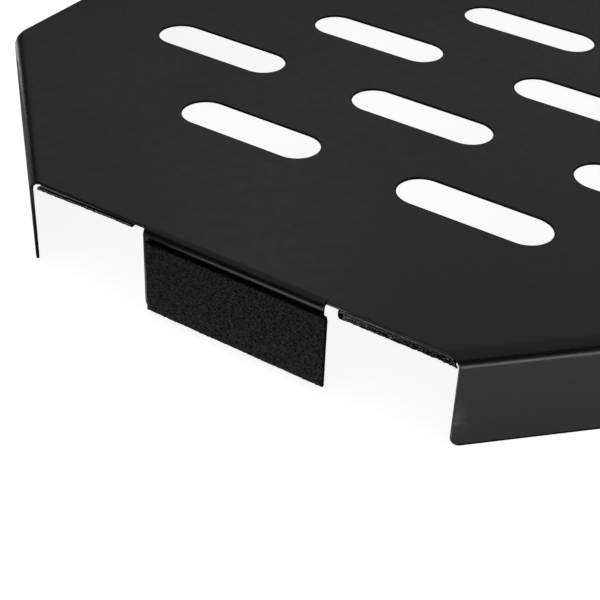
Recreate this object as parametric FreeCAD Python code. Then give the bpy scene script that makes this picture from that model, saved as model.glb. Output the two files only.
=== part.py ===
import FreeCAD, Part
import math
import os

# A flat pedalboard tray, folded from one steel sheet, with hook-and-loop tape stuck to it.
#
# Frame: millimetres. X runs along the board, Y to its rear, Z up. The origin is on the floor,
# under the middle of the board, so the flanges stand on Z = 0 and the deck's top is Z = HEIGHT.
#
# Each corner of the deck is cut off at 45 degrees. A corner has its own plan directions: U runs
# along the cut from the short side to the long side, and V runs from the cut in under the deck.

Vector = FreeCAD.Vector

# The folded sheet
LENGTH = 522.0            # outside, along X
WIDTH = 293.0             # outside, along Y
HEIGHT = 30.0             # floor to the top of the deck
SHEET = 1.0               # steel and its coat of paint
BEND_RADIUS = 4.0         # outside of a flange's fold
CORNER_LEG = 100.0        # what the corner cut takes off each side
FLANGE_CORNER = 3.2       # rounding of a flange's two lower corners

# The tab folded down from the middle of each corner cut
TAB_WIDTH = 59.5
TAB_SHIFT = 1.3           # towards the long side, from the middle of the cut
TAB_DEPTH = 27.6          # deck top to the tab's lower edge
TAB_CORNER = 2.8
TAB_BEND = 2.4            # outside of a tab's fold, tighter than a flange's
TAB_PROUD = SHEET         # the tab's outer face stands this far outside the cut

# The cable slots, a square grid of round-ended slots that all lie at 45 degrees
SLOT_LENGTH = 49.0
SLOT_WIDTH = 15.3
SLOT_PITCH = 55.0
SLOT_COLUMNS = 8
SLOT_ROWS = 4
SLOT_ANGLE = -45.0        # degrees, from X

# The hook-and-loop tape, woven tape on a film of adhesive
TAPE_WIDTH = 23.5
TAPE = 1.2
ADHESIVE = 0.3
PAD_TOP_GAP = 3.3         # deck top to the pad's upper edge
PAD_LENGTH = 59.4
PAD_SHIFT = 1.75          # tab's end to the pad's end, on the short side's side
SIDE_STRIP_GAP = 4.4      # tab to the strip on the short side's side of it
LONG_STRIP_GAP = 3.5      # tab to the strip on the long side's side of it

CORNERS = {"front_left": (1, 1), "front_right": (-1, 1),
           "rear_left": (1, -1), "rear_right": (-1, -1)}

HALF_CUT = CORNER_LEG / math.sqrt(2.0)             # half the length of a corner's cut
TAB_START = TAB_SHIFT - TAB_WIDTH / 2.0            # the tab's two ends along U
TAB_END = TAB_SHIFT + TAB_WIDTH / 2.0
TAB_FOLD = TAB_BEND - TAB_PROUD                 # where the tab's fold starts, along V
STRIP_REACH = HALF_CUT - BEND_RADIUS * math.sqrt(2.0)   # the flat of the deck ends here, along U


def export(shape, node):
    """Write one node's solids and say what they are."""
    if not shape.isValid():
        raise ValueError(node + " is not a valid shape")
    shape.exportStep("parts/" + node + ".step")
    print(node, "solids", len(shape.Solids), "volume", round(shape.Volume, 1))


def prism(points, bottom, top):
    """A vertical prism over a plan outline given as (x, y) corners."""
    corners = [Vector(x, y, bottom) for x, y in points]
    wire = Part.makePolygon(corners + corners[:1])
    return Part.Face(wire).extrude(Vector(0, 0, top - bottom))


def to_corner(shape):
    """Take a shape drawn in U, V and Z to its place at the front left corner."""
    middle = Vector((CORNER_LEG - LENGTH) / 2.0, (CORNER_LEG - WIDTH) / 2.0, 0)
    placed = shape.copy()
    placed.rotate(Vector(0, 0, 0), Vector(0, 0, 1), -45.0)
    placed.translate(middle)
    return placed


def mirrored(shape, side_x, side_y):
    """Mirror a front left piece to another corner; a side of 1 leaves that direction alone."""
    if side_x < 0:
        shape = shape.mirror(Vector(0, 0, 0), Vector(1, 0, 0))
    if side_y < 0:
        shape = shape.mirror(Vector(0, 0, 0), Vector(0, 1, 0))
    return shape


def octagon(bottom, top):
    """The space inside the four sides and the four corner cuts."""
    half_x, half_y = LENGTH / 2.0, WIDTH / 2.0
    flat_x, flat_y = half_x - CORNER_LEG, half_y - CORNER_LEG
    outline = [(-flat_x, -half_y), (flat_x, -half_y), (half_x, -flat_y), (half_x, flat_y),
               (flat_x, half_y), (-flat_x, half_y), (-half_x, flat_y), (-half_x, -flat_y)]
    return prism(outline, bottom, top)


def fold(length, radius):
    """A fold's quarter ring along X: flat deck at +Y and flange below at -Y, outer face on Y = 0."""
    centre = Vector(-length / 2.0, radius, HEIGHT - radius)
    along = Vector(1, 0, 0)
    ring = Part.makeCylinder(radius, length, centre, along)
    ring = ring.cut(Part.makeCylinder(radius - SHEET, length, centre, along))
    quarter = Part.makeBox(length, radius, radius, Vector(-length / 2.0, 0, HEIGHT - radius))
    return ring.common(quarter)


def hanging_plate(length, top, bottom, corner_radius):
    """A plate hanging from a fold, its outer face on Y = 0 and its two lower corners rounded."""
    plate = Part.makeBox(length, SHEET, top - bottom, Vector(-length / 2.0, 0, bottom))
    lower = [edge for edge in plate.Edges
             if abs(edge.Length - SHEET) < 1e-6 and edge.CenterOfMass.z < bottom + 1e-6]
    return plate.makeFillet(corner_radius, lower)


def flange(side_length, face_distance, turn):
    """One side's fold and flange, made along X and turned about the board's middle.

    The fold is made over-long, because the corner cuts trim its ends at 45 degrees.
    """
    run = side_length - 2.0 * CORNER_LEG
    upper = fold(run + 4.0 * BEND_RADIUS, BEND_RADIUS)
    wall = hanging_plate(run, HEIGHT - BEND_RADIUS, 0.0, FLANGE_CORNER)
    pieces = []
    for piece in (upper, wall):
        piece.translate(Vector(0, -face_distance, 0))
        piece.rotate(Vector(0, 0, 0), Vector(0, 0, 1), turn)
        pieces.append(piece)
    return pieces


def corner_tab():
    """The tab's fold and plate at the front left corner."""
    upper = fold(TAB_WIDTH, TAB_BEND)
    plate = hanging_plate(TAB_WIDTH, HEIGHT - TAB_BEND, HEIGHT - TAB_DEPTH, TAB_CORNER)
    tab = upper.fuse(plate)
    tab.translate(Vector(TAB_SHIFT, -TAB_PROUD, 0))
    return to_corner(tab)


def tab_relief():
    """What the tab's fold takes out of the deck's flat at the front left corner."""
    margin = 1.0
    block = Part.makeBox(TAB_WIDTH, TAB_FOLD + margin, SHEET + 2.0 * margin,
                         Vector(TAB_START, -margin, HEIGHT - SHEET - margin))
    return to_corner(block)


def slot_centres():
    """The grid's centres, less the one at each cut corner."""
    centres = []
    for column in range(SLOT_COLUMNS):
        for row in range(SLOT_ROWS):
            at_end = column in (0, SLOT_COLUMNS - 1)
            at_edge = row in (0, SLOT_ROWS - 1)
            if at_end and at_edge:
                continue
            x = (column - (SLOT_COLUMNS - 1) / 2.0) * SLOT_PITCH
            y = (row - (SLOT_ROWS - 1) / 2.0) * SLOT_PITCH
            centres.append((x, y))
    return centres


def slot_cutter(x, y):
    """One round-ended slot, a little deeper than the sheet."""
    radius = SLOT_WIDTH / 2.0
    half_run = SLOT_LENGTH / 2.0 - radius
    below = HEIGHT - 2.0 * SHEET
    depth = 3.0 * SHEET
    cutter = Part.makeBox(2.0 * half_run, SLOT_WIDTH, depth, Vector(-half_run, -radius, below))
    for end in (-half_run, half_run):
        cutter = cutter.fuse(Part.makeCylinder(radius, depth, Vector(end, 0, below)))
    cutter.rotate(Vector(0, 0, 0), Vector(0, 0, 1), SLOT_ANGLE)
    cutter.translate(Vector(x, y, 0))
    return cutter


def folded_sheet():
    """The deck, its four flanges and its four corner tabs, one sheet of steel."""
    half_x, half_y = LENGTH / 2.0, WIDTH / 2.0
    upper = Part.makeBox(LENGTH - 2.0 * BEND_RADIUS, WIDTH - 2.0 * BEND_RADIUS, SHEET,
                         Vector(BEND_RADIUS - half_x, BEND_RADIUS - half_y, HEIGHT - SHEET))
    walls = []
    for side_length, distance, turn in ((LENGTH, half_y, 0), (WIDTH, half_x, 90),
                                        (LENGTH, half_y, 180), (WIDTH, half_x, 270)):
        side_fold, side_wall = flange(side_length, distance, turn)
        upper = upper.fuse(side_fold)
        walls.append(side_wall)
    upper = upper.common(octagon(HEIGHT - BEND_RADIUS, HEIGHT))
    reliefs = [mirrored(tab_relief(), *sides) for sides in CORNERS.values()]
    tabs = [mirrored(corner_tab(), *sides) for sides in CORNERS.values()]
    slots = [slot_cutter(x, y) for x, y in slot_centres()]
    sheet = upper.cut(reliefs + slots).fuse(walls + tabs).removeSplitter()
    return sheet.Solids[0]


def pad_layer(back, front):
    """One layer of a corner pad, between two distances outside the tab's outer face."""
    top = HEIGHT - PAD_TOP_GAP
    layer = Part.makeBox(PAD_LENGTH, front - back, TAPE_WIDTH,
                         Vector(TAB_START + PAD_SHIFT, -TAB_PROUD - front, top - TAPE_WIDTH))
    return to_corner(layer)


def strip_layer(start, end, top, bottom):
    """One layer of a strip under the deck's corner cut, between two distances below the deck."""
    underside = HEIGHT - SHEET
    layer = Part.makeBox(end - start, TAPE_WIDTH, bottom - top, Vector(start, 0, underside - bottom))
    return to_corner(layer)


def corner_tapes(corner, sides):
    """The pad on one tab and the two strips beside it, each with its film of adhesive."""
    films = {"tape": (ADHESIVE, ADHESIVE + TAPE), "adhesive": (0.0, ADHESIVE)}
    strips = {"side": (-STRIP_REACH, TAB_START - SIDE_STRIP_GAP),
              "long": (TAB_END + LONG_STRIP_GAP, STRIP_REACH)}
    for layer, (near, far) in films.items():
        pad = mirrored(pad_layer(near, far), *sides)
        export(pad, "pad_" + layer + "_" + corner)
        for place, (start, end) in strips.items():
            strip = mirrored(strip_layer(start, end, near, far), *sides)
            export(strip, place + "_strip_" + layer + "_" + corner)


os.makedirs("parts", exist_ok=True)
export(folded_sheet(), "folded_sheet")
for corner_name, corner_sides in CORNERS.items():
    corner_tapes(corner_name, corner_sides)
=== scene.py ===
import math

import bpy
import numpy as np
from mathutils import Matrix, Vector
from mathutils.geometry import delaunay_2d_cdt


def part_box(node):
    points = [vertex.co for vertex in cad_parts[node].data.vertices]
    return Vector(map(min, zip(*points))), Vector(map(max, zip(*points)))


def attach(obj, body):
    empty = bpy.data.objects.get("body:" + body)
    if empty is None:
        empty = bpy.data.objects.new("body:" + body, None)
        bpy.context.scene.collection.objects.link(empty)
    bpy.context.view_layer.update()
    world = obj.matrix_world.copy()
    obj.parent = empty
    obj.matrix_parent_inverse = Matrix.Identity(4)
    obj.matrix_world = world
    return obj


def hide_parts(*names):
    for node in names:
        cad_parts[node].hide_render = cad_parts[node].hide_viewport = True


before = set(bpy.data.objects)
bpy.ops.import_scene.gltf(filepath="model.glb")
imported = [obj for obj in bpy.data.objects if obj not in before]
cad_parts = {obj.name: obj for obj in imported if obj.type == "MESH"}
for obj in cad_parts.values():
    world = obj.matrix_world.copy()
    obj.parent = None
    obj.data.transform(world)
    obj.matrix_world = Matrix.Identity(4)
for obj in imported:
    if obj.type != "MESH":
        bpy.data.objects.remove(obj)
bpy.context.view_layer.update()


# ---------------------------------------------------------------------------------------------
# The folded sheet: deck, four flanges and four corner tabs of one powder-coated sheet of steel, which
# stands on the lower edges of its flanges. It is made as the real one is: a flat blank with round-ended
# slots and rounded rims, folded down along its four sides and at the tab in each corner cut.

HALF_LENGTH, HALF_WIDTH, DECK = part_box("folded_sheet")[1]
SHEET = 0.0010                 # steel and its coat
BEND = 0.0040                  # outside radius of a flange's fold
ARC = BEND * math.pi / 2       # what a fold uses up of the blank
CORNER_LEG = 0.100             # what a corner cut takes off each side
FLANGE_CORNER = 0.0032         # rounding of a flange's lower corners
RIM = 0.00045                  # rounding that the coat gives to every cut edge

TAB_WIDTH = 0.0595
TAB_SHIFT = 0.0013             # from the middle of the cut towards the long side
TAB_REACH = 0.0276             # deck to the tab's lower edge
TAB_CORNER = 0.0028
TAB_BEND = 0.0024              # outside radius of a tab's fold, which is tighter
TAB_ARC = TAB_BEND * math.pi / 2
TAB_FOLD = TAB_BEND - SHEET    # where a tab's fold starts, inwards from the cut
KERF = 0.00006                 # the hairline slit that frees each end of a tab's fold
MOUTH = 0.0006                 # rounding where that slit meets the cut

SLOT_LENGTH = 0.049
SLOT_WIDTH = 0.0153
SLOT_PITCH = 0.055
SLOT_COLUMNS, SLOT_ROWS = 8, 4
SLOT_ANGLE = math.radians(-45)

SLIT_RIM = 0.25                # share of the rim's rounding that is left at those slits
SLIT_BLEND = 0.001             # distance from a slit in which the rest of it comes back

FOLD_STEPS = 14                # along the arc of a fold
RIM_STEPS = 4                  # along each quarter of a rim
CORNER_STEPS = 8               # along a lower corner of a flange or a tab
MOUTH_STEPS, SLIT_STEPS = 4, 6
SLOT_STEPS = 28                # along each round end of a slot

ROOT_HALF = math.sqrt(0.5)
CORNER_MIDDLE = np.array([CORNER_LEG / 2 - HALF_LENGTH, CORNER_LEG / 2 - HALF_WIDTH])
ALONG_CUT = np.array([ROOT_HALF, -ROOT_HALF])     # U, from the short side to the long side
IN_FROM_CUT = np.array([ROOT_HALF, ROOT_HALF])    # V, from the cut in under the deck
CORNERS = {"front_left": (1, 1), "front_right": (-1, 1),
           "rear_left": (1, -1), "rear_right": (-1, -1)}


def corner_plan(u, v):
    """Plan position at the front left corner: the cut's middle, plus u along it and v inwards."""
    return CORNER_MIDDLE + np.multiply.outer(u, ALONG_CUT) + np.multiply.outer(v, IN_FROM_CUT)


def arc(centre, radius, start, end, steps):
    """Points round a circle: centre plus radius times the cosine and sine of even angles, in degrees."""
    angles = np.radians(np.linspace(start, end, steps + 1))
    return np.array(centre) + radius * np.stack([np.cos(angles), np.sin(angles)], axis=1)


def flange_end(half_side):
    """Blank outline of half a flange, drawn for the front one.

    X counts from the board's middle and Y from the flange's outer face. The outline runs from the
    middle of the lower edge to the corner, round it, up the end, and over the fold,
    where the end moves in by the bend radius times one minus the sine of the fold's angle, which is
    the shape that leaves the folded end cut off at 45 degrees in plan.
    """
    end = CORNER_LEG - half_side
    foot = BEND - ARC - (DECK - BEND)
    corner = arc((end + FLANGE_CORNER, foot + FLANGE_CORNER), FLANGE_CORNER, 270, 180,
                 CORNER_STEPS)
    angles = np.linspace(math.pi / 2, 0, FOLD_STEPS + 1)
    over = np.stack([end - BEND + BEND * np.sin(angles), BEND - BEND * angles], axis=1)
    return np.concatenate([[[0, foot]], corner, over])


def tab_side():
    """Blank outline of half a tab in U and V: the slit's mouth, the slit, the side and the lower corner."""
    edge = TAB_WIDTH / 2
    mouth = arc((edge + KERF + MOUTH, MOUTH), MOUTH, 270, 180, MOUTH_STEPS)
    slit_end = arc((edge + KERF / 2, TAB_FOLD + KERF / 2), KERF / 2, 0, 180, SLIT_STEPS)
    fold = TAB_FOLD - np.linspace(0, TAB_ARC, FOLD_STEPS + 1)
    side = np.stack([np.full(len(fold), edge), fold], axis=1)
    foot = TAB_FOLD - TAB_ARC - (TAB_REACH - TAB_BEND)
    corner = arc((edge - TAB_CORNER, foot + TAB_CORNER), TAB_CORNER, 0, -90, CORNER_STEPS)
    return np.concatenate([mouth, slit_end, side, corner])


def quarter_outline():
    """The blank's outline round the front left corner, and the pairs of its points that fold lines join.

    It also gives the number of points of its two halves of flanges.
    """
    long_end = flange_end(HALF_LENGTH)
    long_part = long_end + [0, -HALF_WIDTH]
    short_end = flange_end(HALF_WIDTH)[::-1, ::-1]
    short_part = short_end + [-HALF_LENGTH, 0]
    half_tab = tab_side()
    other_half = (half_tab * [-1, 1])[::-1]
    tab = np.concatenate([half_tab, other_half]) + [TAB_SHIFT, 0]
    tab_part = corner_plan(tab[:, 0], tab[:, 1])
    outline = np.concatenate([long_part, tab_part, short_part])
    first = len(long_part)
    joined = (FOLD_STEPS + 1) + (CORNER_STEPS + 1)
    folds = len(half_tab) - joined + np.arange(joined)
    pairs = np.stack([first + folds, first + len(tab) - 1 - folds], axis=1)
    return outline, pairs, len(long_part), len(short_part)


def blank_outline():
    """The whole outline, anticlockwise, from four mirrored quarters, and the fold lines as pairs."""
    quarter, tab_pairs, long_count, short_count = quarter_outline()
    count = len(quarter)
    # Clockwise quarters: front left as drawn, then rear left, rear right and front right.
    front_left = quarter
    rear_left = (quarter * [1, -1])[::-1]
    rear_right = quarter * [-1, -1]
    front_right = (quarter * [-1, 1])[::-1]
    loop = np.concatenate([front_left, rear_left, rear_right, front_right])
    tabs = [tab_pairs, 2 * count - 1 - tab_pairs, 2 * count + tab_pairs, 4 * count - 1 - tab_pairs]
    long_fold = np.arange(1, long_count)
    short_fold = count - np.arange(2, short_count + 1)
    front = np.stack([long_fold, 4 * count - 1 - long_fold], axis=1)
    rear = np.stack([2 * count - 1 - long_fold, 2 * count + long_fold], axis=1)
    left = np.stack([short_fold, 2 * count - 1 - short_fold], axis=1)
    right = np.stack([2 * count + short_fold, 4 * count - 1 - short_fold], axis=1)
    lines = np.concatenate(tabs + [front, rear, left, right])
    # The middle points of the flanges' edges come twice where two quarters meet, so one of each goes.
    doubles = np.array([count, 2 * count, 3 * count, 4 * count - 1])
    keep = np.setdiff1d(np.arange(4 * count), doubles)
    place = np.full(4 * count, -1)
    place[keep] = np.arange(len(keep))
    loop, lines = loop[keep][::-1], len(keep) - 1 - place[lines]
    return loop, lines


def slot_outline(x, y):
    """One slot, clockwise: two half circles joined by straight sides, turned and moved to its place."""
    radius, reach = SLOT_WIDTH / 2, (SLOT_LENGTH - SLOT_WIDTH) / 2
    loop = np.concatenate([arc((reach, 0), radius, 90, -90, SLOT_STEPS),
                           arc((-reach, 0), radius, 270, 90, SLOT_STEPS)])
    cosine, sine = math.cos(SLOT_ANGLE), math.sin(SLOT_ANGLE)
    return loop @ np.array([[cosine, sine], [-sine, cosine]]) + [x, y]


def slot_places():
    """The centres of a square grid, without the one at each cut corner."""
    column, row = np.meshgrid(np.arange(SLOT_COLUMNS), np.arange(SLOT_ROWS), indexing="ij")
    at_end = (column == 0) | (column == SLOT_COLUMNS - 1)
    at_edge = (row == 0) | (row == SLOT_ROWS - 1)
    kept = ~(at_end & at_edge)
    x = (column[kept] - (SLOT_COLUMNS - 1) / 2) * SLOT_PITCH
    y = (row[kept] - (SLOT_ROWS - 1) / 2) * SLOT_PITCH
    return np.stack([x, y], axis=1)


def outward(loop):
    """At each point of a loop the way off the material, so long that both its edges move by one."""
    ahead = np.roll(loop, -1, axis=0) - loop
    ahead /= np.linalg.norm(ahead, axis=1)[:, None]
    normal = np.stack([ahead[:, 1], -ahead[:, 0]], axis=1)
    before = np.roll(normal, 1, axis=0)
    return (normal + before) / (1 + (normal * before).sum(axis=1))[:, None]


def slit_share(loop):
    """How round the rim is at each point of a loop: least at the tabs' slits, and whole away from them."""
    near = np.full(len(loop), np.inf)
    for sides in CORNERS.values():
        from_middle = loop * sides - CORNER_MIDDLE
        u, v = from_middle @ ALONG_CUT, from_middle @ IN_FROM_CUT
        for edge in (TAB_SHIFT - TAB_WIDTH / 2, TAB_SHIFT + TAB_WIDTH / 2):
            near = np.minimum(near, np.hypot(u - edge, v - np.clip(v, 0, TAB_FOLD)))
    return SLIT_RIM + (1 - SLIT_RIM) * np.clip((near - KERF) / SLIT_BLEND, 0, 1)


def rim_profile():
    """Profile of a cut edge, down from the top: a quarter circle, a straight part and a quarter circle.

    The results are how far each point is in from the outline, how far below the face it belongs to, the
    outward and upward shares of its normal, and whether that face is the lower one.
    """
    turn = np.linspace(0, math.pi / 2, RIM_STEPS + 1)
    inset = RIM * (1 - np.sin(turn))
    depth = RIM * (1 - np.cos(turn))
    inset = np.concatenate([inset, inset[::-1]])
    depth = np.concatenate([depth, -depth[::-1]])
    out = np.concatenate([np.sin(turn), np.sin(turn[::-1])])
    up = np.concatenate([np.cos(turn), -np.cos(turn[::-1])])
    lower = np.arange(len(up)) > RIM_STEPS
    return inset, depth, out, up, lower


def fold_down(plan, depth, normal):
    """Fold the blank: take plan places, depths under its top and normals to the folded sheet.

    Past a fold line a point turns about the fold's axis by its distance over the bend radius, up to a
    right angle, at a radius that is less by its depth, and what is left of the distance hangs straight down.
    """
    placed = np.column_stack([plan, DECK - depth])
    turned = normal.copy()
    corner_lines = []
    for side_x in (-1, 1):
        for side_y in (-1, 1):
            sides = np.array([side_x, side_y])
            corner_lines.append((-CORNER_MIDDLE * sides, IN_FROM_CUT * sides, -ALONG_CUT * sides))
    side_lines = [(np.array([0, -HALF_WIDTH]), np.array([0, -1])),
                  (np.array([0, HALF_WIDTH]), np.array([0, 1])),
                  (np.array([-HALF_LENGTH, 0]), np.array([-1, 0])),
                  (np.array([HALF_LENGTH, 0]), np.array([1, 0]))]
    free = np.ones(len(plan), bool)

    def fold(start, away, chosen, bend):
        past = (plan - start) @ away
        chosen = chosen & (past > 0) & free
        free[chosen] = False
        angle = np.minimum(past[chosen] / bend, math.pi / 2)
        hang = np.maximum(past[chosen] - bend * math.pi / 2, 0)
        radius = bend - depth[chosen]
        shift = radius * np.sin(angle) - past[chosen]
        placed[chosen, :2] += shift[:, None] * away
        placed[chosen, 2] = DECK - bend + radius * np.cos(angle) - hang
        out, up = normal[chosen, :2] @ away, normal[chosen, 2]
        turned[chosen, :2] += (out * np.cos(angle) + up * np.sin(angle) - out)[:, None] * away
        turned[chosen, 2] = up * np.cos(angle) - out * np.sin(angle)

    for middle, away, along in corner_lines:
        across = (plan - middle) @ along
        on_tab = np.abs(across - TAB_SHIFT) < (TAB_WIDTH + KERF) / 2
        fold(middle - TAB_FOLD * away, away, on_tab, TAB_BEND)
    for face, away in side_lines:
        fold(face - BEND * away, away, np.ones(len(plan), bool), BEND)
    return placed, turned


def inside(points, loop):
    """Which points lie inside a closed loop: a ray along X crosses it an odd number of times."""
    a, b = loop, np.roll(loop, -1, axis=0)
    x, y = points[:, :1], points[:, 1:]
    spans = (a[:, 1] > y) != (b[:, 1] > y)
    rise = np.where(a[:, 1] == b[:, 1], 1, b[:, 1] - a[:, 1])
    crossing = a[:, 0] + (y - a[:, 1]) * (b[:, 0] - a[:, 0]) / rise
    return (spans & (x < crossing)).sum(axis=1) % 2 == 1


def flat_triangles(loops, lines):
    """Triangles between an outer loop and the holes in it, none of which crosses a loop or a given line."""
    millimetre = 1000.0
    points = np.concatenate(loops) * millimetre
    edges = [np.asarray(lines)] if len(lines) else []
    start = 0
    for loop in loops:
        index = start + np.arange(len(loop))
        edges.append(np.stack([index, np.roll(index, -1)], axis=1))
        start += len(loop)
    made = delaunay_2d_cdt(points.tolist(), np.concatenate(edges).tolist(), [], 0, 1e-6)
    origins = np.array(made[3])[:, 0]
    triangles = origins[np.array(made[2])]
    centres = points[triangles].mean(axis=1)
    kept = inside(centres, loops[0] * millimetre)
    for hole in loops[1:]:
        kept &= ~inside(centres, hole * millimetre)
    triangles = triangles[kept]
    a, b, c = (points[triangles[:, i]] for i in range(3))
    area = (b - a)[:, 0] * (c - a)[:, 1] - (b - a)[:, 1] * (c - a)[:, 0]
    triangles[area < 0] = triangles[area < 0][:, ::-1]
    return triangles


def mesh_object(name, points, faces, normals=None):
    """A new smooth object from points and blocks of faces, with the given normals where there are any."""
    mesh = bpy.data.meshes.new(name)
    mesh.from_pydata(points.tolist(), [], sum([block.tolist() for block in faces], []))
    mesh.polygons.foreach_set("use_smooth", np.full(len(mesh.polygons), True))
    if normals is not None:
        unit = normals / np.linalg.norm(normals, axis=1)[:, None]
        mesh.normals_split_custom_set_from_vertices(unit.tolist())
    mesh.update()
    made = bpy.data.objects.new(name, mesh)
    bpy.context.scene.collection.objects.link(made)
    return made


def folded_sheet():
    """The rims of all loops, each the edge profile carried round its outline, and the flat faces between."""
    outer, lines = blank_outline()
    loops = [outer] + [slot_outline(x, y) for x, y in slot_places()]
    inset, depth, out, up, lower = rim_profile()
    rings = len(inset)
    total = sum(len(loop) for loop in loops)
    plan = np.zeros((rings, total, 2))
    deep = np.zeros((rings, total))
    normal = np.zeros((rings, total, 3))
    quads, start = [], 0
    for loop in loops:
        away = outward(loop)
        unit = away / np.linalg.norm(away, axis=1)[:, None]
        span = slice(start, start + len(loop))
        share = slit_share(loop)
        plan[:, span] = loop - (inset[:, None] * share)[:, :, None] * away
        deep[:, span] = depth[:, None] * share + np.where(lower, SHEET, 0)[:, None]
        normal[:, span, :2] = out[:, None, None] * unit
        normal[:, span, 2] = up[:, None]
        here = start + np.arange(len(loop))
        there = np.roll(here, -1)
        ring = np.arange(rings - 1)[:, None] * total
        below = ring + total
        quads.append(np.stack([ring + here, below + here, below + there, ring + there], axis=-1))
        start += len(loop)
    top = flat_triangles([plan[0, s:e] for s, e in spans_of(loops)], lines)
    bottom = (rings - 1) * total + top[:, ::-1]
    placed, turned = fold_down(plan.reshape(-1, 2), deep.reshape(-1), normal.reshape(-1, 3))
    faces = [block.reshape(-1, 4) for block in quads] + [top, bottom]
    return mesh_object("sheet", placed, faces, turned)


def spans_of(loops):
    """Where each loop starts and ends in the joined list of points."""
    ends = np.cumsum([len(loop) for loop in loops])
    return list(zip(ends - [len(loop) for loop in loops], ends))


def speckle_group():
    """Shader group: coarse and fine noise on Object coordinates, mixed to a height and a contrasted value.

    The value is a half plus the contrast times what the mixed noise is over a half, kept in 0 to 1.
    """
    group = bpy.data.node_groups.new("speckle", "ShaderNodeTree")
    for name, value in (("Coarse Scale", 200.0), ("Fine Scale", 2000.0),
                        ("Fine Share", 0.5), ("Contrast", 1.0)):
        socket = group.interface.new_socket(name, in_out="INPUT", socket_type="NodeSocketFloat")
        socket.default_value = value
    group.interface.new_socket("Value", in_out="OUTPUT", socket_type="NodeSocketFloat")
    group.interface.new_socket("Height", in_out="OUTPUT", socket_type="NodeSocketFloat")
    nodes, links = group.nodes, group.links
    given, result = nodes.new("NodeGroupInput"), nodes.new("NodeGroupOutput")
    place = nodes.new("ShaderNodeTexCoord")
    noises = []
    for size in ("Coarse Scale", "Fine Scale"):
        noise = nodes.new("ShaderNodeTexNoise")
        noise.inputs["Detail"].default_value = 2.0
        links.new(place.outputs["Object"], noise.inputs["Vector"])
        links.new(given.outputs[size], noise.inputs["Scale"])
        noises.append(noise.outputs["Fac"])
    mix = nodes.new("ShaderNodeMix")
    links.new(given.outputs["Fine Share"], mix.inputs["Factor"])
    links.new(noises[0], mix.inputs["A"])
    links.new(noises[1], mix.inputs["B"])
    centred = nodes.new("ShaderNodeMath")
    centred.operation = "SUBTRACT"
    centred.inputs[1].default_value = 0.5
    links.new(mix.outputs["Result"], centred.inputs[0])
    spread = nodes.new("ShaderNodeMath")
    spread.operation = "MULTIPLY_ADD"
    spread.inputs[2].default_value = 0.5
    spread.use_clamp = True
    links.new(centred.outputs[0], spread.inputs[0])
    links.new(given.outputs["Contrast"], spread.inputs[1])
    links.new(spread.outputs[0], result.inputs["Value"])
    links.new(mix.outputs["Result"], result.inputs["Height"])
    return group


speckle = speckle_group()


def new_material(name):
    """A material with nodes, its Principled shader and a function that adds a node and sets its inputs."""
    material = bpy.data.materials.new(name)
    material.use_nodes = True
    nodes, links = material.node_tree.nodes, material.node_tree.links

    def add(kind, **values):
        node = nodes.new(kind)
        for socket, value in values.items():
            node.inputs[socket.replace("_", " ")].default_value = value
        return node

    return material, nodes["Principled BSDF"], add, links.new


def add_speckle(add, coarse, fine, fine_share, contrast):
    """A speckle group with its four values set."""
    node = add("ShaderNodeGroup")
    node.node_tree = speckle
    for name, value in (("Coarse Scale", coarse), ("Fine Scale", fine),
                        ("Fine Share", fine_share), ("Contrast", contrast)):
        node.inputs[name].default_value = value
    return node


def colour_between(add, link, value, dark, light):
    """A colour ramp from dark to light, driven by a value."""
    ramp = add("ShaderNodeValToRGB")
    ramp.color_ramp.elements[0].color = (*dark, 1)
    ramp.color_ramp.elements[1].color = (*light, 1)
    link(value, ramp.inputs["Fac"])
    return ramp.outputs["Color"]


def powder_coat_finish():
    """Satin black powder coat: a faint orange peel, a fine grain, and a gloss that wanders a little."""
    material, shader, add, link = new_material("satin_black_powder_coat")
    peel = add_speckle(add, 900, 5200, 0.35, 1.6)
    cloud = add_speckle(add, 14, 260, 0.5, 1.8)
    colour = colour_between(add, link, peel.outputs["Value"],
                            (0.0018, 0.0018, 0.0020), (0.0052, 0.0052, 0.0056))
    link(colour, shader.inputs["Base Color"])
    gloss = add("ShaderNodeMapRange", To_Min=0.20, To_Max=0.34)
    link(cloud.outputs["Value"], gloss.inputs["Value"])
    link(gloss.outputs["Result"], shader.inputs["Roughness"])
    bump = add("ShaderNodeBump", Strength=0.6, Distance=0.00004)
    link(peel.outputs["Height"], bump.inputs["Height"])
    link(bump.outputs["Normal"], shader.inputs["Normal"])
    shader.inputs["IOR"].default_value = 1.5
    return material


sheet = folded_sheet()
sheet.data.materials.append(powder_coat_finish())
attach(sheet, "root")
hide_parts("folded_sheet")


# ---------------------------------------------------------------------------------------------
# The hook-and-loop tape: woven nylon loop tape, cut to length with shears and stuck on with its
# own film of adhesive. One pad faces out on each corner tab, and a strip lies under the deck on
# each side of the tab, along the corner cut. The loops stand up from the woven ground.

TAPE_WIDTH = 0.0235
PAD_LENGTH = 0.0594
GROUND = 0.0012                # woven ground and pile together
FILM = 0.0003                  # the adhesive
PAD_TOP = 0.0033               # deck to a pad's upper edge
PAD_SHIFT = 0.00175            # tab's end to the pad's end, on the short side's side
SIDE_GAP, LONG_GAP = 0.0044, 0.0035     # from the tab to the strips beside it
FOLD_START = CORNER_LEG * ROOT_HALF - BEND * math.sqrt(2)   # where the deck's flat ends along the cut
SIDE_REACH = FOLD_START + 0.0022        # the strips run on into the hollow of the fold
LONG_REACH = FOLD_START + 0.0039
CUT_SOFTNESS = 0.00045         # rounding of the tape's cut edges
CUT_SHADE_FADE = 1.8                 # how much sooner than that rounding the near-black of the cut edge, partly painted shade, ends
CUT_WANDER, FILM_WANDER = 0.00003, 0.00006      # how far a cut side strays from straight
NOSE = 0.0020                  # rounding of a long strip's corner by the tab
PAD_NOSE = 0.0014              # rounding of a pad's upper corner on the long side's side
PILE_STEP, STRIP_STEP = 0.00026, 0.00034        # spacing of the pile's grid
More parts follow.
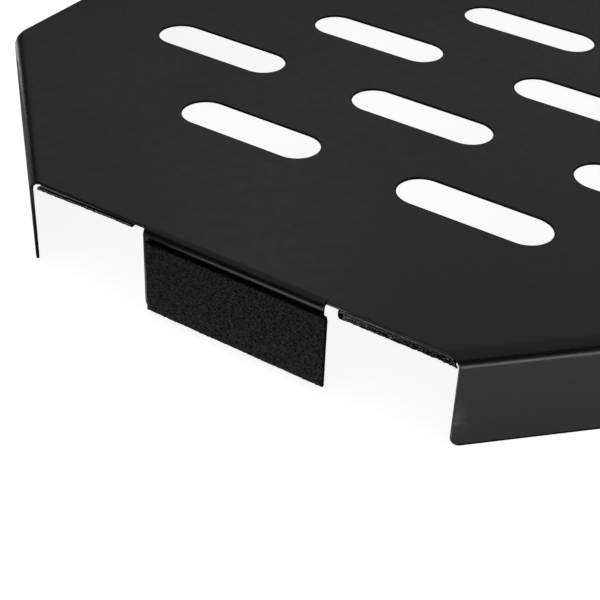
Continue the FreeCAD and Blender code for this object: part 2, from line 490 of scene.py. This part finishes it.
PILE_ROUGH = 0.00009
FILM_STEP_ALONG, FILM_STEP_ACROSS = 0.0008, 0.002
LOOP_FOOT = 0.00012            # how deep in the pile a loop starts
LOOP_RISE, LOOP_REACH, LOOP_THICKNESS = (0.00014, 0.00030), (0.0002, 0.0005), (0.00003, 0.00005)
LOOP_MARGIN = 0.0006
YARN_REACH, YARN_THICKNESS = (0.0001, 0.0004), (0.00003, 0.00007)
YARN_DROOP = 0.00014           # spread of how far a cut yarn bends
YARN_TURN = 1.1                # spread of its heading, in radians
ON_CUT_SHARE = 0.85            # share of the cut yarns that are on the edge by the corner cut
FRAY_CLEAR = 0.0004            # bare part of that edge next to the tape's start
FRAY_BAND = 0.0001             # yarns that begin further in than this come out of the tape's back


def stations(length, step):
    """Places along one side of a tape: close together at both cut edges, evenly spaced between them."""
    edge = CUT_SOFTNESS * np.array([0, 0.08, 0.3, 0.62])
    count = max(2, round((length - 2 * CUT_SOFTNESS) / step))
    middle = np.linspace(CUT_SOFTNESS, length - CUT_SOFTNESS, count + 1)
    return np.concatenate([edge, middle, length - edge[::-1]])


def smooth_random(random, shape, passes):
    """Random heights, averaged with their neighbours a number of times and scaled to a spread of one."""
    field = random.normal(size=shape)
    for _ in range(passes):
        field = (field + np.roll(field, 1, 0) + np.roll(field, -1, 0)
                 + np.roll(field, 1, 1) + np.roll(field, -1, 1)) / 5
    return field / field.std()


def grid_outline(rows, columns):
    """Indices round the border of a grid, anticlockwise."""
    index = np.arange(rows * columns).reshape(rows, columns)
    return np.concatenate([index[:-1, 0], index[-1, :-1], index[:0:-1, -1], index[0, :0:-1]])


def slab(along, across, height, softness, random, wander, corners=(0, 0, 0, 0)):
    """A thin closed slab: a height over a grid, rounded off at its border, with walls to a flat back.

    At a distance d inside the border the height is less by softness times one minus the root of
    d/softness times (2 - d/softness). Each corner of the plan is pulled in from a square to a circle
    of its own radius. The walls stray from straight by the given distance. The results are points,
    blocks of faces, and a value from 0 to 1 for how near-black each point is painted: partly the cut
    edge's own black and partly painted shade over the rounded border, the walls and the back.
    """
    a, b = np.meshgrid(along, across, indexing="ij")
    inside_by = np.minimum(np.minimum(a, along[-1] - a), np.minimum(b, across[-1] - b))
    share = np.clip(inside_by / softness, 0, 1)
    top = height - softness * (1 - np.sqrt(share * (2 - share)))
    length, width = along[-1], across[-1]
    for radius, far_a, far_b in zip(corners, (0, 1, 1, 0), (0, 0, 1, 1)):
        if radius:
            p = np.maximum(radius - (length - a if far_a else a), 0)
            q = np.maximum(radius - (width - b if far_b else b), 0)
            reach = np.maximum(np.hypot(p, q), 1e-12)
            pull = np.where((p > 0) & (q > 0), np.maximum(p, q) / reach, 1)
            a = a + (1 if far_a else -1) * p * (pull - 1)
            b = b + (1 if far_b else -1) * q * (pull - 1)
    points = np.stack([a, b, top], axis=-1).reshape(-1, 3)
    index = np.arange(a.size).reshape(a.shape)
    quads = np.stack([index[:-1, :-1], index[1:, :-1], index[1:, 1:], index[:-1, 1:]], axis=-1).reshape(-1, 4)
    border = grid_outline(*a.shape)
    count = len(border)
    middle = np.array([length / 2, width / 2])
    rings, walls, above = [], [quads], border
    for level in (0.66, 0.33, 0.0):
        ring = points[border].copy()
        ring[:, 2] *= level
        push = wander * smooth_random(random, (count, 1), 2)
        from_middle = (ring[:, :2] - middle) / middle
        away = np.where(np.abs(from_middle) > 0.995, np.sign(from_middle), 0)
        ring[:, :2] += push * away * (level > 0)
        below = a.size + len(rings) * count + np.arange(count)
        walls.append(np.stack([above, below, np.roll(below, -1), np.roll(above, -1)], axis=1))
        rings.append(ring)
        above = below
    back = above[::-1][None, :]
    # Near-black cut value: 1 on the walls and the back, fading in over the rounded border. It is partly the
    # cut ground's own black and partly painted shade on edges that face the light.
    cut = np.concatenate([np.clip(1 - CUT_SHADE_FADE * share.reshape(-1), 0, 1)] + [np.ones(count)] * len(rings))
    return np.concatenate([points] + rings), walls + [back], cut


def threads(start, lean, rise, reach, thickness, bend):
    """Short tubes of three sides along half-ellipse arches, all at once.

    With an angle that grows evenly from 0 to bend times pi, a point of an arch is its start, plus reach
    times half of (1 - cosine) along its lean, plus rise times the sine straight up.
    """
    steps, sides = 5, 3
    share = np.linspace(0, 1, steps)[None, :, None]
    turn = share * math.pi * bend
    forward = reach[:, None, None] * (1 - np.cos(turn)) / 2
    upward = rise[:, None, None] * np.sin(turn)
    path = start[:, None, :] + forward * lean[:, None, :] + upward * np.array([0, 0, 1.0])
    tangent = np.gradient(path, axis=1)
    tangent /= np.linalg.norm(tangent, axis=2, keepdims=True)
    side = np.cross(lean, [0, 0, 1.0])[:, None, :] + 0 * tangent
    side /= np.linalg.norm(side, axis=2, keepdims=True)
    other = np.cross(tangent, side)
    angle = np.arange(sides) * 2 * math.pi / sides
    round_it = side[:, :, None, :] * np.cos(angle)[:, None] + other[:, :, None, :] * np.sin(angle)[:, None]
    points = (path[:, :, None, :] + thickness[:, None, None, None] * round_it).reshape(-1, 3)
    base = np.arange(len(start))[:, None, None] * steps * sides
    k = np.arange(steps - 1)[None, :, None] * sides
    j = np.arange(sides)[None, None, :]
    after = (j + 1) % sides
    this, following = base + k, base + k + sides
    quads = np.stack([this + j, this + after, following + after, following + j], axis=-1)
    first = np.arange(len(start))[:, None] * steps * sides
    near_end = first + np.array([2, 1, 0])
    far_end = first + (steps - 1) * sides + np.array([0, 1, 2])
    return points, [quads.reshape(-1, 4), near_end, far_end]


def put(name, points, faces, origin, axes, sides):
    """Take a piece from its tape's own directions to its corner of the board and make its object.

    The place is the origin plus each coordinate times its axis, then mirrored in X and Y by the
    corner's sides. Faces are turned round where that has changed the hand.
    """
    mirror = np.array([sides[0], sides[1], 1.0])
    placed = (origin + points @ axes) * mirror
    if np.linalg.det(axes) * mirror.prod() < 0:
        faces = [block[:, ::-1] for block in faces]
    return mesh_object(name, placed, faces)


U = np.array([*ALONG_CUT, 0])
V = np.array([*IN_FROM_CUT, 0])
Z = np.array([0, 0, 1.0])


def pad_place(film):
    """Origin and axes of a pad's tape or film: along the tab, up, and out from the tab."""
    start = TAB_SHIFT - TAB_WIDTH / 2 + PAD_SHIFT
    out = SHEET + (0 if film else FILM)
    origin = np.array([*CORNER_MIDDLE, DECK - PAD_TOP - TAPE_WIDTH]) + start * U - out * V
    return origin, np.array([U, Z, -V])


def strip_place(start, film):
    """Origin and axes of a strip's tape or film: along the cut, in under the deck, and down."""
    origin = np.array([*CORNER_MIDDLE, DECK - SHEET - (0 if film else FILM)]) + start * U
    return origin, np.array([U, V, -Z])


# A colour Mix node's sockets share their names with its other kinds, so they are taken by number.
MIX_FIRST, MIX_SECOND, MIX_RESULT = 6, 7, 2


def loop_tape_finish():
    """Black nylon loop pile with painted shade: darker where its bump is low, as shade in the hollows, and
    near-black where the cut value is 1, the cut edge's own black with painted shade.
    """
    material, shader, add, link = new_material("black_loop_pile")
    pile = add_speckle(add, 1100, 2600, 0.55, 8.0)
    # Painted shade in the hollows: the colour follows the pile's bump height, from near-black where it is low
    # up to the nylon's own dark grey where it is high.
    colour = colour_between(add, link, pile.outputs["Value"],
                            (0.0008, 0.0008, 0.0008), (0.030, 0.030, 0.030))
    # Painted shade with the cut edge's own black: where the cut value is 1 the pile turns near-black.
    edge = add("ShaderNodeAttribute")
    edge.attribute_name = "cut"
    mix = add("ShaderNodeMix")
    mix.data_type = "RGBA"
    link(edge.outputs["Fac"], mix.inputs["Factor"])
    link(colour, mix.inputs[MIX_FIRST])
    mix.inputs[MIX_SECOND].default_value = (0.0012, 0.0012, 0.0012, 1)
    link(mix.outputs[MIX_RESULT], shader.inputs["Base Color"])
    shader.inputs["Roughness"].default_value = 0.9
    shader.inputs["Specular IOR Level"].default_value = 0.08
    bump = add("ShaderNodeBump", Strength=1.0, Distance=0.00018)
    link(pile.outputs["Height"], bump.inputs["Height"])
    link(bump.outputs["Normal"], shader.inputs["Normal"])
    return material


def nylon_thread_finish(name, dark, light):
    """Drawn nylon thread: a soft shine, and every thread a little lighter or darker than the next; where the
    light colour is pale, as on the cut yarns, the paler threads are painted glints.
    """
    material, shader, add, link = new_material(name)
    shade = add_speckle(add, 700, 2600, 0.5, 2.4)
    colour = colour_between(add, link, shade.outputs["Value"], dark, light)
    link(colour, shader.inputs["Base Color"])
    shader.inputs["Roughness"].default_value = 0.45
    return material


def adhesive_finish():
    """Acrylic adhesive film: grey and slightly milky, with duller and paler stretches along it."""
    material, shader, add, link = new_material("adhesive_film")
    milky = add_speckle(add, 60, 900, 0.35, 3.0)
    colour = colour_between(add, link, milky.outputs["Value"], (0.22, 0.22, 0.22), (0.85, 0.85, 0.85))
    link(colour, shader.inputs["Base Color"])
    shader.inputs["Roughness"].default_value = 0.5
    return material


pile_material = loop_tape_finish()
loop_material = nylon_thread_finish("black_nylon_loops", (0.002, 0.002, 0.002), (0.060, 0.060, 0.060))
# Cut yarn ends from near-black to pale grey: the pale ones are painted glints of the black nylon at the cut
# edge.
yarn_glint_material = nylon_thread_finish("cut_yarn_ends_and_glints", (0.01, 0.01, 0.01), (0.60, 0.60, 0.60))
film_material = adhesive_finish()


def mark_cut_black_and_shade(piece, cut):
    """Keep how near-black each point is painted, the cut edge's own black together with painted shade, in the
    attribute that the material reads.
    """
    piece.data.attributes.new("cut", "FLOAT", "POINT").data.foreach_set("value", cut)


def lay_tape(name, film_name, length, place, film_place, sides, seed, shape_of, loop_count, frayed, step,
             corners, fray_pull=1.0, fray_width=0.0001, fray_height=(0, 0.8), film_inset=0.0004):
    """One piece of tape with its adhesive: the ground with its pile, standing loops and cut yarn ends.

    shape_of takes points in the tape's own directions, along it, across it and off what it is stuck
    to, and returns them where the tape really lies: off line, swollen, peeled or bent. A fray_pull over
    1 gathers the cut yarns at the tape's start; fray_width is how far in from the edge they begin and
    fray_height between which shares of the ground's height. The film is smaller all round by film_inset.
    """
    random = np.random.default_rng(seed)
    along, across = stations(length, step), stations(TAPE_WIDTH, step)
    shape = (len(along), len(across))
    tufts = 0.75 * smooth_random(random, shape, 0) + 0.4 * smooth_random(random, shape, 10)
    height = GROUND - PILE_ROUGH + PILE_ROUGH * tufts
    points, faces, cut = slab(along, across, height, CUT_SOFTNESS, random, CUT_WANDER, corners)
    tape = put(name, shape_of(points), faces, *place, sides)
    tape.data.materials.append(pile_material)
    mark_cut_black_and_shade(tape, cut)

    count = loop_count
    x = random.uniform(LOOP_MARGIN, length - LOOP_MARGIN, count)
    y = random.uniform(LOOP_MARGIN, TAPE_WIDTH - LOOP_MARGIN, count)
    start = np.column_stack([x, y, np.full(count, GROUND - LOOP_FOOT)])
    heading = random.uniform(0, 2 * math.pi, count)
    lean = np.stack([np.cos(heading), np.sin(heading), np.zeros(count)], axis=1)
    rise, reach = random.uniform(*LOOP_RISE, count), random.uniform(*LOOP_REACH, count)
    points, faces = threads(start, lean, rise, reach, random.uniform(*LOOP_THICKNESS, count), 1.0)
    loops = put(name + "_loops", shape_of(points), faces, *place, sides)
    loops.data.materials.append(loop_material)

    # The cut yarns stand out of the tape's side along the edge by the corner cut, and at its ends.
    count = frayed
    end = random.integers(0, 2, count) * length
    on_cut = random.random(count) < ON_CUT_SHARE
    first = corners[0] + FRAY_CLEAR
    x = np.where(on_cut, first + random.uniform(0, 1, count) ** fray_pull * (length - first), end)
    y = np.where(on_cut, random.uniform(0, 1, count) ** 2 * fray_width,
                 random.uniform(first, TAPE_WIDTH, count))
    z = np.where(y > FRAY_BAND, 0, random.uniform(*fray_height, count) * GROUND)
    start = np.column_stack([x, y, z])
    out = np.where(on_cut, -math.pi / 2, np.where(end > 0, 0, math.pi))
    heading = out + random.normal(0, YARN_TURN, count)
    lean = np.stack([np.cos(heading), np.sin(heading), 0.4 * random.normal(size=count)], axis=1)
    droop, reach = -np.abs(random.normal(0, YARN_DROOP, count)), random.uniform(*YARN_REACH, count)
    points, faces = threads(start, lean, droop, reach, random.uniform(*YARN_THICKNESS, count), 0.8)
    yarns = put(name + "_yarn_ends", shape_of(points), faces, *place, sides)
    yarns.data.materials.append(yarn_glint_material)

    film_along = stations(length - 2 * film_inset, FILM_STEP_ALONG)
    film_across = stations(TAPE_WIDTH - 2 * film_inset, FILM_STEP_ACROSS)
    flat = np.full((len(film_along), len(film_across)), FILM)
    points, faces, cut = slab(film_along, film_across, flat, FILM / 3, random, FILM_WANDER)
    points += [film_inset, film_inset, -FILM]
    film = put(film_name + "_sheet", shape_of(points) + [0, 0, FILM], faces, *film_place, sides)
    film.data.materials.append(film_material)

    for piece in (tape, loops, yarns, film):
        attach(piece, "root")
    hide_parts(name)
    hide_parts(film_name)


def stuck_true(points):
    """A pad lies where it was meant to."""
    return points


LONG_STAND_OUT, LONG_WAVE, LONG_WAVE_RUN = 0.0010, 0.0001, 0.006    # past the cut, and how that wavers
LONG_PEEL, LONG_PEEL_RUN = 0.0004, 0.0030       # how far the end by the tab hangs, and over what run
LONG_SWELL, LONG_SWELL_DEPTH = 0.38, 0.0025     # share that the cut edge is thicker by, fading inwards
LONG_SKEW, LONG_SKEW_DEPTH = 0.0016, 0.0012     # how much longer the cut edge is at the outer end
SIDE_STAND_OUT, SIDE_HANG = 0.0006, 0.00012     # both at the outer end only
SIDE_STAND_START, SIDE_HANG_START, SIDE_RUN = 0.040, 0.036, 0.025
FOLD_FOLLOW, FOLD_FOLLOW_DEPTH = 0.7, 0.0010    # how closely a strip's back keeps to the fold's hollow


def strip_lie(start, long_side):
    """How a strip lies, as a function that moves points given along it, in under the deck and down.

    It stands out past the cut, by a steady distance and a small sine wave on the long side, and by a
    slope towards the outer end on the short side. On the long side the height grows by a share that
    falls off exponentially inwards from the cut, the end by the tab hangs away by a bell of the distance
    from that end, and the outer end is skewed. Past the end of the flat deck a strip follows the inside
    of the fold, a circle of the inner radius seen at 45 degrees, and its pile does so less than its back.
    """
    def lie(points):
        moved = points.copy()
        u = start + points[:, 0]
        at_cut = np.exp(-np.maximum(points[:, 1], 0) / LONG_SWELL_DEPTH)
        if long_side:
            past = np.clip(u - FOLD_START, 0, None) * ROOT_HALF
            stand_out = LONG_STAND_OUT + LONG_WAVE * np.sin(u / LONG_WAVE_RUN)
            hang = LONG_PEEL * np.exp(-(points[:, 0] / LONG_PEEL_RUN) ** 2)
            moved[:, 2] *= 1 + LONG_SWELL * at_cut
            in_fold = np.clip((u - FOLD_START) / (LONG_REACH - FOLD_START), 0, 1)
            moved[:, 0] += LONG_SKEW * np.exp(-points[:, 1] / LONG_SKEW_DEPTH) * in_fold
        else:
            past = np.clip(-u - FOLD_START, 0, None) * ROOT_HALF
            stand_out = SIDE_STAND_OUT * np.clip((-u - SIDE_STAND_START) / SIDE_RUN, 0, 1)
            hang = SIDE_HANG * np.clip((-u - SIDE_HANG_START) / SIDE_RUN, 0, 1)
        inner = BEND - SHEET
        drop = inner - np.sqrt(np.maximum(inner ** 2 - past ** 2, 0))
        moved[:, 1] -= stand_out
        moved[:, 2] += hang + FOLD_FOLLOW * drop * np.exp(-np.maximum(points[:, 2], 0) / FOLD_FOLLOW_DEPTH)
        return moved

    return lie


SQUARE = (0, 0, 0, 0)          # no corner rounded


for number, (corner, sides) in enumerate(CORNERS.items()):
    lay_tape("pad_tape_" + corner, "pad_adhesive_" + corner, PAD_LENGTH,
             pad_place(False), pad_place(True), sides, 100 + number, stuck_true,
             5000, 60, PILE_STEP, (0, 0, PAD_NOSE, 0))
    start, stop = -SIDE_REACH, TAB_SHIFT - TAB_WIDTH / 2 - SIDE_GAP
    lay_tape("side_strip_tape_" + corner, "side_strip_adhesive_" + corner, stop - start,
             strip_place(start, False), strip_place(start, True), sides, 200 + number,
             strip_lie(start, False), 900, 1000, STRIP_STEP, SQUARE,
             fray_pull=1.7, fray_width=0.00005, fray_height=(0.2, 0.5), film_inset=0.0005)
    start, stop = TAB_SHIFT + TAB_WIDTH / 2 + LONG_GAP, LONG_REACH
    lay_tape("long_strip_tape_" + corner, "long_strip_adhesive_" + corner, stop - start,
             strip_place(start, False), strip_place(start, True), sides, 300 + number,
             strip_lie(start, True), 900, 900, STRIP_STEP, (NOSE, 0, 0, 0),
             fray_pull=1.3, fray_width=0.0010, film_inset=0.0009)


# ---------------------------------------------------------------------------------------------
# Stage, lights and camera: a white studio floor, one wide light overhead, a small glow behind, and
# lit cards on the floor beside each side and corner, which the folds show as bright bands.

FLOOR_REACH = 9.0
floor_corners = FLOOR_REACH * np.array([[-1, -1, 0], [1, -1, 0], [1, 1, 0], [-1, 1, 0]])
floor = mesh_object("floor", floor_corners, [np.array([[0, 1, 2, 3]])])


def floor_finish():
    """White floor paper that glows a little to the camera only, so that just a faint shadow stays on it."""
    material, shader, add, link = new_material("studio_floor")
    shader.inputs["Base Color"].default_value = (0.86, 0.86, 0.86, 1)
    shader.inputs["Roughness"].default_value = 0.8
    shader.inputs["Emission Color"].default_value = (1, 1, 1, 1)
    glow = add("ShaderNodeMath")
    glow.operation = "MULTIPLY"
    glow.inputs[1].default_value = 0.9
    link(add("ShaderNodeLightPath").outputs["Is Camera Ray"], glow.inputs[0])
    link(glow.outputs[0], shader.inputs["Emission Strength"])
    return material


floor.data.materials.append(floor_finish())


def area_light(name, place, turn, size, size_y, radiance):
    """A rectangular light that the camera doesn't see; its power is pi times its radiance and its area."""
    light = bpy.data.lights.new(name, "AREA")
    light.shape = "RECTANGLE"
    light.size, light.size_y, light.energy = size, size_y, radiance * math.pi * size * size_y
    made = bpy.data.objects.new(name, light)
    made.location = place
    made.rotation_euler = turn
    made.visible_camera = False
    bpy.context.scene.collection.objects.link(made)


area_light("overhead", (0.3, 0.7, 1.6), (0, 0, 0), 4.6, 5.8, 0.33)
area_light("rear_glow", (0.17, 1.69, 1.31), (math.radians(-54), 0, math.radians(-11)), 0.30, 0.22, 0.30)
CARD = 0.0008                  # height of the lit cards over the floor
FACE_UP = math.pi              # turned over, since a light shines down by itself
for side in (1, -1):
    area_light("long_card", (0.10, -0.2375 * side, CARD), (FACE_UP, 0, 0), 0.50, 0.065, 4.5)
    area_light("long_near_card", (0.02, -0.1758 * side, CARD), (FACE_UP, 0, 0), 0.70, 0.0584, 0.40)
for sides in CORNERS.values():
    turn = (FACE_UP, 0, -math.pi / 4 * sides[0] * sides[1])
    middle = corner_plan(0.0265, -0.175) * sides
    area_light("corner_card", (*middle, CARD), turn, 0.145, 0.245, 1.3)
    middle = corner_plan(0.02, -0.026) * sides
    area_light("corner_near_card", (*middle, CARD), turn, 0.13, 0.048, 1.4)
world = bpy.data.worlds.new("studio")
world.use_nodes = True
world.node_tree.nodes["Background"].inputs["Color"].default_value = (0.03, 0.03, 0.03, 1)
bpy.context.scene.world = world
bpy.context.scene.view_settings.view_transform = "Standard"

CAMERA_PLACE = (-0.2631, -0.4012, 0.2488)
CAMERA_AZIMUTH, CAMERA_PITCH = math.radians(13.367), math.radians(36.801)
CAMERA_ROLL = math.radians(2.532)
camera = bpy.data.objects.new("camera", bpy.data.cameras.new("camera"))
camera.data.lens = 84.53
camera.data.sensor_width = 36
camera.data.clip_start = 0.01
camera.matrix_world = (Matrix.Translation(CAMERA_PLACE)
                       @ Matrix.Rotation(-CAMERA_AZIMUTH, 4, "Z")
                       @ Matrix.Rotation(math.pi / 2 - CAMERA_PITCH, 4, "X")
                       @ Matrix.Rotation(CAMERA_ROLL, 4, "Z"))
bpy.context.scene.collection.objects.link(camera)
bpy.context.scene.camera = camera
